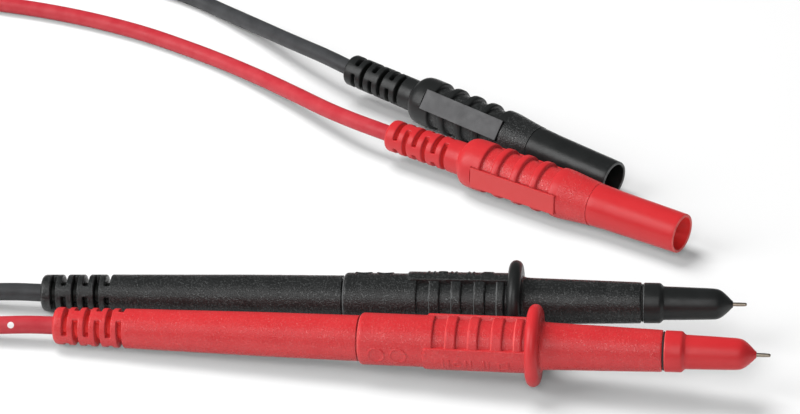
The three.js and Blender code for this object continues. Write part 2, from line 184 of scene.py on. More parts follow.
# ---- materials -------------------------------------------------------------------------------
class Finish:
    """A Principled material whose procedural layers are added one by one."""

    def __init__(self, name, colour, roughness, metallic=0.0, specular=0.5):
        self.material = bpy.data.materials.new(name)
        self.material.use_nodes = True
        self.tree = self.material.node_tree
        self.shader = self.tree.nodes["Principled BSDF"]
        self.colour = colour
        self.shader.inputs["Base Color"].default_value = (*colour, 1)
        self.shader.inputs["Roughness"].default_value = roughness
        self.shader.inputs["Metallic"].default_value = metallic
        self.shader.inputs["Specular IOR Level"].default_value = specular
        self.place = self.add("ShaderNodeTexCoord").outputs["Object"]
        self.normal = None

    def add(self, kind, **inputs):
        node = self.tree.nodes.new(kind)
        for name, value in inputs.items():
            socket = node.inputs[name.replace("_", " ")]
            if isinstance(value, bpy.types.NodeSocket):
                self.tree.links.new(value, socket)
            else:
                socket.default_value = value
        return node

    def noise(self, size, detail=2.0, stretch=(1, 1, 1)):
        """Noise with features of about that size in metres."""
        scaled = self.add("ShaderNodeVectorMath", Vector=self.place)
        scaled.operation = "MULTIPLY"
        scaled.inputs[1].default_value = [s / size for s in stretch]
        return self.add("ShaderNodeTexNoise", Vector=scaled.outputs[0], Scale=1.0, Detail=detail).outputs[0]

    def ranged(self, value, low, high, edges=(0.3, 0.7)):
        """Value spread over the range from low to high."""
        node = self.add("ShaderNodeMapRange", Value=value)
        node.inputs["From Min"].default_value = edges[0]
        node.inputs["From Max"].default_value = edges[1]
        node.inputs["To Min"].default_value = low
        node.inputs["To Max"].default_value = high
        return node.outputs[0]

    def mixed(self, share, first, second):
        node = self.add("ShaderNodeMix")
        node.data_type = "RGBA"
        self.tree.links.new(share, node.inputs["Factor"])
        for socket, colour in ((node.inputs[6], first), (node.inputs[7], second)):
            if isinstance(colour, bpy.types.NodeSocket):
                self.tree.links.new(colour, socket)
            else:
                socket.default_value = (*colour, 1)
        return node.outputs[2]

    def mottle(self, size, other, amount=1.0):
        """Clouds of another colour over the base colour."""
        share = self.ranged(self.noise(size, 4.0), 0.0, amount)
        linked = self.shader.inputs["Base Color"].links
        base = linked[0].from_socket if linked else self.colour
        self.tree.links.new(self.mixed(share, base, other), self.shader.inputs["Base Color"])
        return self

    def uneven(self, size, low, high, stretch=(1, 1, 1)):
        """Roughness that wanders between low and high."""
        value = self.ranged(self.noise(size, 3.0, stretch), low, high)
        self.tree.links.new(value, self.shader.inputs["Roughness"])
        return self

    def bumps(self, size, height, detail=2.0, stretch=(1, 1, 1)):
        """Bumps of that size and height in metres, on top of those already there."""
        node = self.add("ShaderNodeBump", Height=self.noise(size, detail, stretch), Distance=height)
        if self.normal:
            self.tree.links.new(self.normal, node.inputs["Normal"])
        self.normal = node.outputs[0]
        self.tree.links.new(self.normal, self.shader.inputs["Normal"])
        return self

    def glints(self, size, roughness, colour):
        """Small shiny specks, slightly raised, on duller ground that is already uneven. The specks are also
        painted lighter: a painted highlight.
        """
        sparse = (0.57, 0.66)
        # share of the lighter colour in each speck: a painted highlight
        painted_glint_share = 0.2
        raised = 0.000025
        speck = self.ranged(self.noise(size, 0.0), 0.0, 1.0, sparse)
        ground = self.shader.inputs["Roughness"].links[0].from_socket
        mix = self.add("ShaderNodeMix", Factor=speck, A=ground, B=roughness)
        self.tree.links.new(mix.outputs["Result"], self.shader.inputs["Roughness"])
        base = self.shader.inputs["Base Color"].links[0].from_socket
        share = self.ranged(speck, 0.0, painted_glint_share, (0.0, 1.0))
        self.tree.links.new(self.mixed(share, base, colour), self.shader.inputs["Base Color"])
        node = self.add("ShaderNodeBump", Height=speck, Distance=raised)
        self.normal = node.outputs[0]
        self.tree.links.new(self.normal, self.shader.inputs["Normal"])
        return self

    def spot(self, centre, radius, colour):
        """A round spot of another colour, with its centre in metres."""
        away = self.add("ShaderNodeVectorMath")
        away.operation = "DISTANCE"
        self.tree.links.new(self.place, away.inputs[0])
        away.inputs[1].default_value = centre
        share = self.ranged(away.outputs["Value"], 1.0, 0.0, (0.85 * radius, radius))
        base = self.shader.inputs["Base Color"].links[0].from_socket
        self.tree.links.new(self.mixed(share, base, colour), self.shader.inputs["Base Color"])
        return self


BASE = {"black": (0.010, 0.011, 0.011), "red": (0.58, 0.022, 0.027)}
DUSTY = {"black": (0.018, 0.019, 0.019), "red": (0.64, 0.036, 0.040)}
JACKET = {"black": (0.035, 0.036, 0.038), "red": (0.47, 0.022, 0.034)}
JACKET_WORN = {"black": (0.055, 0.057, 0.060), "red": (0.54, 0.05, 0.062)}
# painted reflection: the panels' colour painted lighter than the body's where they face the light
PANEL_PAINTED_SHEEN = {"black": (0.055, 0.055, 0.058), "red": (0.62, 0.036, 0.036)}
# painted highlight: the lighter colour of edges and rims that catch the light, and of the glints' specks
EDGE_HIGHLIGHT_PAINT = {"black": (0.14, 0.145, 0.145), "red": (0.80, 0.13, 0.12)}
# painted light in the shroud's bore and the slots: the red painted brighter as bounced light, the black a little
# darker as painted shade
BORE_PAINTED_LIGHT = {"black": (0.008, 0.009, 0.008), "red": (0.82, 0.018, 0.016)}

# a small white dot of colour
WHITE_DOT = (-0.0746, -0.0407, 0.0042)  # on the red cable, just behind its probe


def eroded_plastic(lead):
    """Moulded in a spark-eroded tool: an even fine grain that glints, with its specks also painted lighter as a
    painted highlight.
    """
    finish = Finish(f"{lead}_eroded_plastic", BASE[lead], 0.38)
    finish.mottle(0.004, DUSTY[lead], 0.7).uneven(0.0015, 0.32, 0.46)
    finish.glints(0.00034, 0.15, EDGE_HIGHLIGHT_PAINT[lead])
    return finish.bumps(0.00022, 0.00005, 0.0).bumps(0.006, 0.00003).material


def satin_plastic(lead):
    finish = Finish(f"{lead}_satin_plastic", BASE[lead], 0.4, specular=0.4)
    finish.mottle(0.005, DUSTY[lead], 0.5).uneven(0.002, 0.34, 0.46)
    return finish.bumps(0.0003, 0.000006, 1.0).bumps(0.005, 0.00004).material


def gloss_plastic(lead):
    finish = Finish(f"{lead}_gloss_plastic", BASE[lead], 0.34, specular=0.38)
    finish.mottle(0.006, DUSTY[lead], 0.4).uneven(0.003, 0.30, 0.42)
    return finish.bumps(0.0004, 0.000006).bumps(0.008, 0.00004).material


def panel_painted_sheen_plastic(lead):
    """The flat panels of the plug: a dull even face of its own roughness, with its colour painted lighter as a
    painted reflection of the light.
    """
    finish = Finish(f"{lead}_panel_painted_sheen_plastic", PANEL_PAINTED_SHEEN[lead], 0.5, specular=0.6)
    finish.mottle(0.003, DUSTY[lead], 0.25).uneven(0.002, 0.44, 0.56)
    return finish.bumps(0.0003, 0.00001, 1.0).material


def painted_highlight_edge(lead):
    """Edges and rims painted lighter: a painted highlight where they catch the light."""
    finish = Finish(f"{lead}_painted_highlight_edge", EDGE_HIGHLIGHT_PAINT[lead], 0.5)
    finish.mottle(0.001, BASE[lead], 0.5).uneven(0.001, 0.4, 0.6)
    return finish.bumps(0.0003, 0.00001).material


def bore_painted_light_plastic(lead):
    """The inside of the shroud and the slots' floors and walls: painted light, brighter red as painted bounced
    light and darker black as painted shade.
    """
    finish = Finish(f"{lead}_bore_painted_light_plastic", BORE_PAINTED_LIGHT[lead], 0.45, specular=0.3)
    finish.mottle(0.003, BASE[lead], 0.3).uneven(0.002, 0.4, 0.5)
    return finish.bumps(0.0005, 0.00001).material


def cable_jacket(lead):
    finish = Finish(f"{lead}_cable_jacket", JACKET[lead], 0.5, specular=0.35)
    finish.mottle(0.003, JACKET_WORN[lead], 0.8).uneven(0.002, 0.42, 0.58)
    if lead == "red":
        finish.spot(WHITE_DOT, 0.0007, (0.85, 0.80, 0.80))
    return finish.bumps(0.0007, 0.00002, 3.0).bumps(0.01, 0.00015).material


def metal(name, colour, roughness, stretch=(1, 1, 1)):
    darker = tuple(0.6 * c for c in colour)
    finish = Finish(name, colour, roughness, metallic=1.0)
    finish.mottle(0.0015, darker, 0.6).uneven(0.0008, roughness - 0.08, roughness + 0.1, stretch)
    return finish.bumps(0.0002, 0.000004, 2.0, stretch).material


def rubber(name, colour):
    lighter = tuple(1.6 * c + 0.01 for c in colour)
    return Finish(name, colour, 0.6).mottle(0.002, lighter).bumps(0.0004, 0.00001).material


def hook_and_loop(name, colour):
    lighter = tuple(2.0 * c for c in colour)
    finish = Finish(name, colour, 0.85).mottle(0.0006, lighter)
    return finish.bumps(0.00035, 0.00012, 2.0, (1, 1, 3)).material


eroded = {lead: eroded_plastic(lead) for lead in LEADS}
satin = {lead: satin_plastic(lead) for lead in LEADS}
gloss = {lead: gloss_plastic(lead) for lead in LEADS}
painted_panel_sheen = {lead: panel_painted_sheen_plastic(lead) for lead in LEADS}
painted_highlight = {lead: painted_highlight_edge(lead) for lead in LEADS}
bore_painted_light = {lead: bore_painted_light_plastic(lead) for lead in LEADS}
jacket = {lead: cable_jacket(lead) for lead in LEADS}
needle_steel = metal("needle_steel", (0.36, 0.31, 0.25), 0.32, (1, 12, 12))
spring_steel = metal("spring_steel", (0.55, 0.55, 0.56), 0.3)
nickel = metal("nickel", (0.70, 0.68, 0.62), 0.25)
brass = metal("brass", (0.75, 0.58, 0.30), 0.3)
copper = metal("copper", (0.72, 0.40, 0.26), 0.4)
seal_rubber = rubber("seal_rubber", (0.02, 0.02, 0.02))
tie_fabric = hook_and_loop("tie_fabric", (0.03, 0.03, 0.032))


# ---- making meshes ---------------------------------------------------------------------------
SHARP_ANGLE = 38
EDGE_STEPS = (-1.0, -0.6, -0.3, -0.12, -0.04, 0.04, 0.12, 0.3, 0.6, 1.0)


def finish_piece(piece, body, nodes):
    """Puts a piece on its body, and hides the nodes it stands for."""
    if piece.name.startswith("red_"):
        piece.visible_diffuse = False  # keeps the white table under the red lead from turning pink
    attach(piece, body)
    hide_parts(*nodes)
    return piece


def mesh_piece(name, points, faces, *materials, pick=None):
    """pick gives the index of every face's material."""
    mesh = bpy.data.meshes.new(name)
    mesh.from_pydata([tuple(p) for p in points], [], faces)
    for material in materials:
        mesh.materials.append(material)
    if pick is not None:
        mesh.polygons.foreach_set("material_index", pick)
    mesh.validate()
    mesh.polygons.foreach_set("use_smooth", [True] * len(mesh.polygons))
    mesh.set_sharp_from_angle(angle=math.radians(SHARP_ANGLE))
    return linked(name, mesh)


def grid_faces(rows, columns):
    """Quads between neighbouring rows of a closed grid, wrapped round both ways."""
    faces = []
    for i in range(rows):
        here = i * columns
        after = (i + 1) % rows * columns
        for j in range(columns):
            across = (j + 1) % columns
            faces.append((here + j, here + across, after + across, after + j))
    return faces


def tube_faces(rows, columns):
    """Quads between neighbouring rows of a tube, with one face across each end."""
    last_row = (rows - 1) * columns
    sides = grid_faces(rows, columns)[:last_row]
    return [*sides, tuple(range(columns))[::-1], tuple(range(last_row, rows * columns))]


def ring_points(rows, angles, matrix):
    """Stations, radii and row-frame points of a grid that has one ring of points for every row."""
    stations = np.repeat([float(row[0]) for row in rows], len(angles))
    radii = np.concatenate([np.broadcast_to(row[1], len(angles)) for row in rows])
    turn = np.tile(np.radians(angles), len(rows))
    local = np.stack([stations, radii * np.cos(turn), radii * np.sin(turn)], axis=1)
    return stations, radii, local @ np.array(matrix.to_3x3()).T + np.array(matrix.translation)


def skin(name, rows, angles, matrix, *materials, pick=None):
    """A closed ring-shaped skin. rows go once round the section: along the outside, then back inside.

    pick gives the index of a face's material from its station and radius.
    """
    stations, radii, points = ring_points(rows, angles, matrix)
    faces = grid_faces(len(rows), len(angles))
    if pick is None:
        return mesh_piece(name, points, faces, *materials)
    corners = np.array(faces)
    index = pick(stations[corners].mean(axis=1), radii[corners].mean(axis=1))
    return mesh_piece(name, points, faces, *materials, pick=index.astype(np.int32))


def rod(name, profile, matrix, material, sides=48):
    """A solid of revolution. Its profile starts and ends close to the axis."""
    angles = np.arange(sides) * 360 / sides
    points = ring_points(profile, angles, matrix)[2]
    return mesh_piece(name, points, tube_faces(len(profile), sides), material)


def near_edges(edges, reach):
    """Places close to every edge, so that a skin's grid follows the edge."""
    return [edge + step * reach for edge in edges for step in EDGE_STEPS]


def merged(values, least):
    """Values in order, without any that is closer than least to the one before."""
    kept = []
    for value in sorted(values):
        if not kept or value - kept[-1] >= least:
            kept.append(value)
    return kept


def one_turn(angles, least):
    """Angles in order within one turn, without any that is closer than least to the one before."""
    return merged([angle % 360 for angle in angles], least)


def round_step(inside, height, fillet):
    """Height of a moulded edge: 0 outside it, a steep wall at 0, and a rounded top that far inside."""
    wall = 0.06
    along = np.clip(inside / fillet, 0, 1)
    top = height - fillet * (1 - np.sqrt(1 - (1 - along) ** 2))
    foot = (height - fillet) * np.clip(1 + inside / wall, 0, 1)
    return np.where(inside >= 0, top, foot)


def arc(start, end, steps):
    """Quarter of a rounded edge from one (station, radius) to another, without its first point."""
    points = []
    for i in range(1, steps + 1):
        quarter = math.pi / 2 * i / steps
        along, across = 1 - math.cos(quarter), math.sin(quarter)
        points.append((start[0] + (end[0] - start[0]) * along, start[1] + (end[1] - start[1]) * across))
    return points


def angle_from(angles, centre):
    """Degrees between every angle and a centre, from 0 to 180."""
    return np.abs((np.asarray(angles) - centre + 180) % 360 - 180)


def slot_depths(station, angles, outer_r, first_slot, pitch, roll=0.0):
    """Radii round a strain relief at one station: its slots, with webs of every second one turned."""
    fillet = 0.22
    corner = 0.25
    far = 10.0
    clear = np.full(len(angles), far)
    for i in range(SLOTS):
        along = SLOT_WIDTH / 2 - abs(station - first_slot - i * pitch)
        web_at = roll if i % 2 == 0 else roll + 90
        off_web = np.minimum(angle_from(angles, web_at), angle_from(angles, web_at + 180))
        across = np.radians(off_web - WEB_HALF_ANGLE) * outer_r
        past_side = corner - along
        past_web = corner - across
        round_corner = np.hypot(np.maximum(past_side, 0), np.maximum(past_web, 0)) - corner
        straight = np.minimum(np.maximum(past_side, past_web), 0)
        clear = np.minimum(clear, round_corner + straight)
    return SLOT_FLOOR_R + round_step(clear, outer_r - SLOT_FLOOR_R, fillet)


def slot_grid(first_slot, pitch, outer_r, roll=0.0):
    """Stations and angles that follow the strain relief's slots."""
    reach = 0.3
    edges = [first_slot + i * pitch + side * SLOT_WIDTH / 2 for i in range(SLOTS) for side in (-1, 1)]
    webs = [roll + turn + side * WEB_HALF_ANGLE for turn in (0, 90, 180, 270) for side in (-1, 1)]
    return near_edges(edges, reach), near_edges(webs, math.degrees(reach / outer_r))


def in_slot(station, radius):
    """Whether a face of a strain relief lies in one of its slots."""
    return (station > EDGE) & (station < SLOTS_END) & (radius < SLOT_WALL_R)


def bore_rows(lip_r):
    """The cable's bore at the rear of a strain relief, from inside out to the lip round it."""
    return [(8, BORE_R), (0.4, BORE_R), (0.1, BORE_R + 0.05), (0, BORE_R + 0.2), (0, lip_r)]


def relief_rows(stations, outline, angles, first_slot, pitch, roll=0.0):
    """Rows of a slotted strain relief and of the round part in front of it."""
    where, radius = zip(*outline)
    rows = []
    for station in stations:
        outer = float(np.interp(station, where, radius))
        if EDGE < station < SLOTS_END:
            outer = slot_depths(station, angles, outer, first_slot, pitch, roll)
        rows.append((station, outer))
    return rows


# ---- the probe -------------------------------------------------------------------------------
def probe_sleeve(lead):
    """The slim rear half of the probe, with its slotted strain relief."""
    first_slot, pitch = 2.5, 2.16
    roll = SLOT_ROLL[lead]
    slot_stations, web_angles = slot_grid(first_slot, pitch, TAIL_R, roll)
    angles = one_turn(web_angles + list(np.arange(0, 360, 4.0)), 0.3)
    outline = ((0.0, 2.9), (0.1, 3.2), (0.3, 3.42), (0.55, 3.55), (EDGE, TAIL_R), (9, 3.74), (15, 3.84),
               (29, 4.05), (41, 4.24), (58, 4.37), (SLEEVE_FRONT, 4.38))
    stations = [row[0] for row in outline] + slot_stations + list(np.arange(EDGE, SLEEVE_FRONT, 1.2))
    rows = bore_rows(2.6)
    rows += relief_rows(merged(stations, 0.03), outline, angles, first_slot, pitch, roll)
    rows += [(SLEEVE_FRONT, 3.5), (SLEEVE_END - 0.2, 3.5), (SLEEVE_END, 3.4), (SLEEVE_END, BORE_R)]
    # the slots get the bore's painted light
    finishes = (eroded[lead], bore_painted_light[lead])
    piece = skin(f"{lead}_probe_sleeve", rows, angles, probe_at[lead], *finishes, pick=in_slot)
    return finish_piece(piece, f"{lead}_lead", [f"{lead}_rear_sleeve"])


def grip_radii(station, angles):
    """Radii round the probe's grip at one station."""
    rail_fillet, body_fillet, rib_fillet = 0.3, 0.25, 0.4
    slanted = 14  # degrees at each side of a rail over which its rear end slants
    sideways = np.minimum(angle_from(angles, 0), angle_from(angles, 180))
    in_rail = np.radians(RAIL_HALF_ANGLE - sideways) * RAIL_R
    start, end = RECESS
    slant = 0.5 * np.clip((sideways - RAIL_HALF_ANGLE + slanted) / slanted, 0, 1)
    rail = np.minimum(in_rail, station - (start - RAIL_LEAD) - slant)
    height = round_step(np.minimum(rail, end + 1 - station), RAIL_R - RECESS_R, rail_fillet)
    body_depth = GRIP_R - RECESS_R
    for inside in (start - station, station - end, in_rail):
        height = np.maximum(height, round_step(inside, body_depth, body_fillet))
    for low, high in GRIP_RIBS:
        inside = min(station - low, high - station)
        height = np.maximum(height, round_step(inside, body_depth, rib_fillet))
    return RECESS_R + height + grip_marks(station, angles)


RAIL_BARS = (76.2, 77.3, 80.6, 81.5, 84.0, 84.9)  # stations of the plain raised bars on a rail
RAIL_BAR_HALF = 0.9
RAIL_SQUARE = (87.7, 0.85)  # station and half size
RAIL_RING = (79.0, 0.7)  # station and radius
GRIP_RINGS = ((63.4, 1.5), (67.6, 1.5))
GRIP_RINGS_AT = -12  # degrees from the rail
MARK_STEP = 0.14  # how close the rows are where there are marks


def raised_line(distance):
    """Height of a raised line, from the distance to its middle."""
    height, half_width, slope = 0.16, 0.14, 0.12
    return height * np.clip((half_width - distance) / slope + 1, 0, 1)


def grip_marks(station, angles):
    """Plain raised marks: bars, a ring and a square on each rail, and two rings behind each rail."""
    height = np.zeros(len(angles))
    for rail in (0, 180):
        around = (np.asarray(angles) - rail + 180) % 360 - 180
        across = np.radians(around) * RAIL_R
        for middle in RAIL_BARS:
            apart = np.maximum(abs(station - middle), np.abs(across) - RAIL_BAR_HALF)
            height = np.maximum(height, raised_line(apart))
        middle, half = RAIL_SQUARE
        apart = np.abs(np.maximum(abs(station - middle), np.abs(across)) - half)
        height = np.maximum(height, raised_line(apart))
        middle, ring_r = RAIL_RING
        height = np.maximum(height, raised_line(np.abs(np.hypot(station - middle, across) - ring_r)))
        beside = np.radians(around - GRIP_RINGS_AT) * GRIP_R
        for middle, ring_r in GRIP_RINGS:
            height = np.maximum(height, raised_line(np.abs(np.hypot(station - middle, beside) - ring_r)))
    return height


def grip_angles():
    """Angles of the grip's grid: close together at the rails' edges and where there are marks."""
    rails = [turn + side * RAIL_HALF_ANGLE for turn in (0, 180) for side in (-1, 1)]
    marked = [rail + off for rail in (0, 180) for off in np.arange(-32, 15, 1.3)]
    angles = near_edges(rails, math.degrees(0.35 / RAIL_R)) + marked + list(np.arange(0, 360, 3.6))
    return one_turn(angles, 0.25)


def grip_stations():
    """Stations of the grip's grid between its shoulder and the guard, chosen in the same way."""
    edges = [RECESS[0], RECESS[0] - RAIL_LEAD] + [edge for rib in GRIP_RIBS for edge in rib]
    marked = list(np.arange(61.5, 69.5, MARK_STEP)) + list(np.arange(75.6, 89.0, MARK_STEP))
    stations = near_edges(edges, 0.4) + marked + list(np.arange(SHOULDER + 1.2, GUARD[0], 0.8))
    return [s for s in merged(stations, 0.03) if SHOULDER + 0.9 < s < GUARD[0]]


def barrel_rows():
    """The tapering barrel in front of the guard, and back inside it to the cable's bore."""
    floor, seat = 108.8, 116
    spigot_bore, seal_bore = 2.8, 3.45
    outside = [(96.6, 4.46), (101, 4.36), (106, 4.25), (111, 4.12), (115, 4.02), (116.9, 3.97)]
    rim = [(117.15, 3.93), (117.26, 3.85), (BARREL_END, 3.7), (BARREL_END, seal_bore)]
    inside = [(seat, seal_bore), (seat, spigot_bore), (floor, spigot_bore), (floor, BORE_R)]
    return outside + rim + inside


def probe_grip(lead):
    """The thick front half of the probe: shoulder, rails, ribs, finger guard and barrel."""
    bore_end, sleeve_bore, rear_r = 70.3, 3.8, 4.1
    angles = grip_angles()
    rows = [(bore_end, BORE_R), (bore_end, sleeve_bore), (SHOULDER + 0.1, sleeve_bore)]
    rows += [(SHOULDER, sleeve_bore + 0.1), (SHOULDER, rear_r)]
    rows += arc((SHOULDER, rear_r), (SHOULDER + 0.85, GRIP_R), 8)
    rows += [(s, grip_radii(s, angles)) for s in grip_stations()]
    rows += guard_rows() + barrel_rows()
    # the third finish is the painted highlight on the rear edges
    finishes = (eroded[lead], satin[lead], painted_highlight[lead])
    piece = skin(f"{lead}_probe_grip", rows, angles, probe_at[lead], *finishes, pick=grip_surface)
    return finish_piece(piece, f"{lead}_lead", [f"{lead}_grip_body"])


def grip_surface(station, radius):
    """Index of the grip's finish: 0 grained, 1 the guard, 2 the painted highlight on the rear edges of the
    shoulder and ribs.
    """
    disc_r, shoulder_edge_r = 5.4, 4.15
    on_guard = (station > GUARD[0] - 0.1) & (radius > disc_r) & (station < GUARD[1] + 0.1)
    on_edge = (station > SHOULDER - 0.05) & (station < SHOULDER + 0.3) & (radius > shoulder_edge_r)
    for low, high in GRIP_RIBS:
        on_edge |= (abs(station - low) < 0.16) & (radius > GRIP_R - 0.4) & (radius < GRIP_R + 0.05)
    return np.where(on_edge, 2, on_guard)


def guard_rows():
    """The finger guard: a disc with a full-round rim, and a fillet to the barrel in front of it."""
    low, high = GUARD
    half = (high - low) / 2
    middle = (low + high) / 2
    steps = 16
    rows = [(low - 0.02, 5.36), (low + 0.02, 5.8)]
    for i in range(steps + 1):
        turn = math.pi * i / steps
        rows.append((middle - half * math.cos(turn), GUARD_R - half + half * math.sin(turn)))
    rows += [(high, 5.6), (high + 0.02, 5.2), (high + 0.12, 4.9), (high + 0.35, 4.68), (high + 0.8, 4.55)]
    return rows


def nose(lead):
    """The screw-off nose cap: thread, collar, slim nose, pointed end and the bore for the needle."""
    bore, bore_end = 1.3, 130.6
    angles = list(np.arange(0, 360, 3.75))
    rows = [(109.1, bore), (109.1, 2.2), (109.3, SPIGOT_R)] + thread_rows(109.4, 115.6, angles)
    rows += [(115.8, SPIGOT_R), (COLLAR_START, SPIGOT_R), (COLLAR_START, 3.66)]
    rows += [(COLLAR_START + 0.04, 3.78), (COLLAR_START + 0.13, 3.87), (COLLAR_START + 0.3, 3.91)]
    rows += [(119.3, 3.9), (120.6, 3.89), (120.9, 3.85), (121.1, 3.72), (121.45, 3.36), (121.55, 3.28)]
    rows += [(121.8, 3.24), (123, 3.22), (126, 3.15), (129, 3.07), (130.6, 3.02)]
    rows += [(131.2, 2.98), (131.6, 2.93), (131.9, 2.87), (132.2, 2.77), (132.5, 2.62), (132.8, 2.43)]
    rows += [(133.1, 2.2), (133.4, 1.95), (133.7, 1.67), (134.0, 1.38), (134.3, 1.06), (134.55, 0.8)]
    rows += [(NOSE_END - 0.06, 0.66), (NOSE_END, 0.58), (NOSE_END, NEEDLE_HOLE_R)]
    rows += [(bore_end + 0.4, NEEDLE_HOLE_R), (bore_end, bore)]
    # the second finish is the painted highlight on the collar's rear edge
    finishes = (satin[lead], painted_highlight[lead])
    piece = skin(f"{lead}_nose", rows, angles, probe_at[lead], *finishes, pick=on_collar_edge)
    return finish_piece(piece, f"{lead}_nose", [f"{lead}_nose_cap"])


def thread_rows(start, end, angles):
    """A right-hand thread between two stations: each row is turned on a little from the one before."""
    root, depth, rows_per_turn = 2.3, 0.18, 8
    around = np.asarray(angles) / 360
    rows = []
    for station in np.arange(start, end, THREAD_PITCH / rows_per_turn):
        phase = (station / THREAD_PITCH - around) % 1.0
        rows.append((station, root + depth * (1 - np.abs(2 * phase - 1))))
    return rows


def on_collar_edge(station, radius):
    """Index of the nose's finish: 0 satin, 1 the painted highlight on the rear edge of its collar."""
    return (radius > 3.5) & (station > COLLAR_START - 0.1) & (station < COLLAR_START + 0.12)


def seal(lead):
    """The ring between grip and nose, with the thin lip that shows in the seam."""
    rows = [(116.3, 2.85), (116.3, 3.05), (116.4, 3.15), (117.38, 3.15), (117.38, 3.58)]
    rows += [(117.42, 3.68), (117.5, 3.72), (117.58, 3.68), (117.62, 3.58), (117.62, 2.85)]
    angles = list(np.arange(0, 360, 6.0))
    piece = skin(f"{lead}_seal", rows, angles, probe_at[lead], seal_rubber)
    return finish_piece(piece, f"{lead}_nose_slide", [f"{lead}_nose_seal"])


def needle(lead):
    """The blunt needle, with the head that its spring pushes on."""
    profile = [(100.2, 0.05), (100.2, 0.9), (100.3, 1.0), (105.9, 1.0), (106, 0.9), (106, 0.75),
               (121, 0.75), (122, 0.39), (133, 0.385), (136.2, 0.375), (137.0, 0.34), (137.2, 0.325),
               (137.32, 0.29), (137.4, 0.22), (TIP_END, 0.12), (TIP_END, 0.03)]
    piece = rod(f"{lead}_needle", profile, probe_at[lead], needle_steel, 32)
    return finish_piece(piece, f"{lead}_tip", [f"{lead}_tip_needle"])


def spring(lead):
    """The needle's coil spring, between the contact tube's floor and the needle's head."""
    low, high = SPRING
    start, end = low + SPRING_WIRE_R, high - SPRING_WIRE_R
    steps_per_turn, sides = 20, 8
    count = SPRING_TURNS * steps_per_turn + 1
    matrix = probe_at[lead]
    points = []
    for i in range(count):
        share = i / (count - 1)
        turn = 2 * math.pi * SPRING_TURNS * share
        for j in range(sides):
            around = 2 * math.pi * j / sides
            along = start + (end - start) * share + SPRING_WIRE_R * math.sin(around)
            radius = SPRING_R + SPRING_WIRE_R * math.cos(around)
            points.append(matrix @ Vector((along, radius * math.cos(turn), radius * math.sin(turn))))
    piece = mesh_piece(f"{lead}_spring", points, tube_faces(count, sides), spring_steel)
    finish_piece(piece, f"{lead}_lead", [f"{lead}_tip_spring"])
    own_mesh(piece)


# ---- the plug --------------------------------------------------------------------------------
def plug_outline():
    """(station, radius) of the plug's strain relief, shoulder and band."""
    outline = [(0.0, 2.7), (0.1, 3.0), (0.3, 3.24), (0.55, 3.38), (EDGE, 3.42), (9, 3.46), (18.5, 3.5)]
    outline += [(18.8, 3.54), (19.0, 3.68), (19.15, 3.95), (19.3, 4.3), (19.55, 4.62), (19.9, 4.9)]
    return outline + [(20.4, 5.12), (21.1, 5.25), (22.0, PLUG_R), (PLUG_RECESS[0], PLUG_R)]


def plug_radii(station, angles):
    """Radii round the plug's grip at one station, from its band to its cone."""
    band_fillet, rib_fillet, cone_fillet = 0.3, 0.45, 0.35
    groove_width, groove_depth = 0.2, 0.3  # round the panels
    start, end = PLUG_RECESS
    depth = PLUG_R - PLUG_RECESS_R
    height = round_step(start - station, depth, band_fillet)
    for low, high in PLUG_RIBS:
        inside = min(station - low, high - station)
        height = np.maximum(height, round_step(inside, depth, rib_fillet))
    cone_where = (end, end + 1.5, end + 2.5, 46, 48, GRIP_END - 0.25, GRIP_END)
    cone_radius = (5.22, 5.24, 5.18, 4.98, 4.78, 4.55, 4.5)
    cone_depth = float(np.interp(station, cone_where, cone_radius)) - PLUG_RECESS_R
    height = np.maximum(height, round_step(station - end, cone_depth, cone_fillet))
    flat, inside = panel_radii(station, angles)
    round_part = PLUG_RECESS_R + height - np.where(inside > -groove_width, groove_depth, 0.0)
    return np.where(inside >= 0, np.maximum(round_part, flat), round_part)


def panel_radii(station, angles):
    """Radii of the two flat panels at one station, and how far each place is inside their outline."""
    rounding, drop = 0.12, 0.1  # at the panels' edges
    widest = 60  # degrees, well beyond a panel's edge
    off = np.minimum(angle_from(angles, 0), angle_from(angles, 180))
    off = np.radians(np.minimum(off, widest))
    flat = PANEL_HEIGHT / np.cos(off)
    sideways = PANEL_HALF_WIDTH - PANEL_HEIGHT * np.tan(off)
    inside = np.minimum(sideways, min(station - PANEL[0], PANEL[1] - station))
    return flat - drop * (1 - np.clip(inside / rounding, 0, 1)) ** 2, inside


def plug_surface(station, radius):
    """Index of the plug's finish: 0 satin, 1 grained between the ribs and on the cone, 2 panels with their painted
    reflection, 3 slots with their painted light.
    """
    in_recess = (station > PLUG_RECESS[0]) & (station < PLUG_RECESS[1]) & (radius < PLUG_RECESS_R + 0.15)
    on_panel = (station > PANEL[0]) & (station < PANEL[1]) & (radius > PLUG_R + 0.04)
    outside = np.where(on_panel, 2, in_recess | (station > PANEL[1] + 0.1))
    return np.where(in_slot(station, radius), 3, outside)


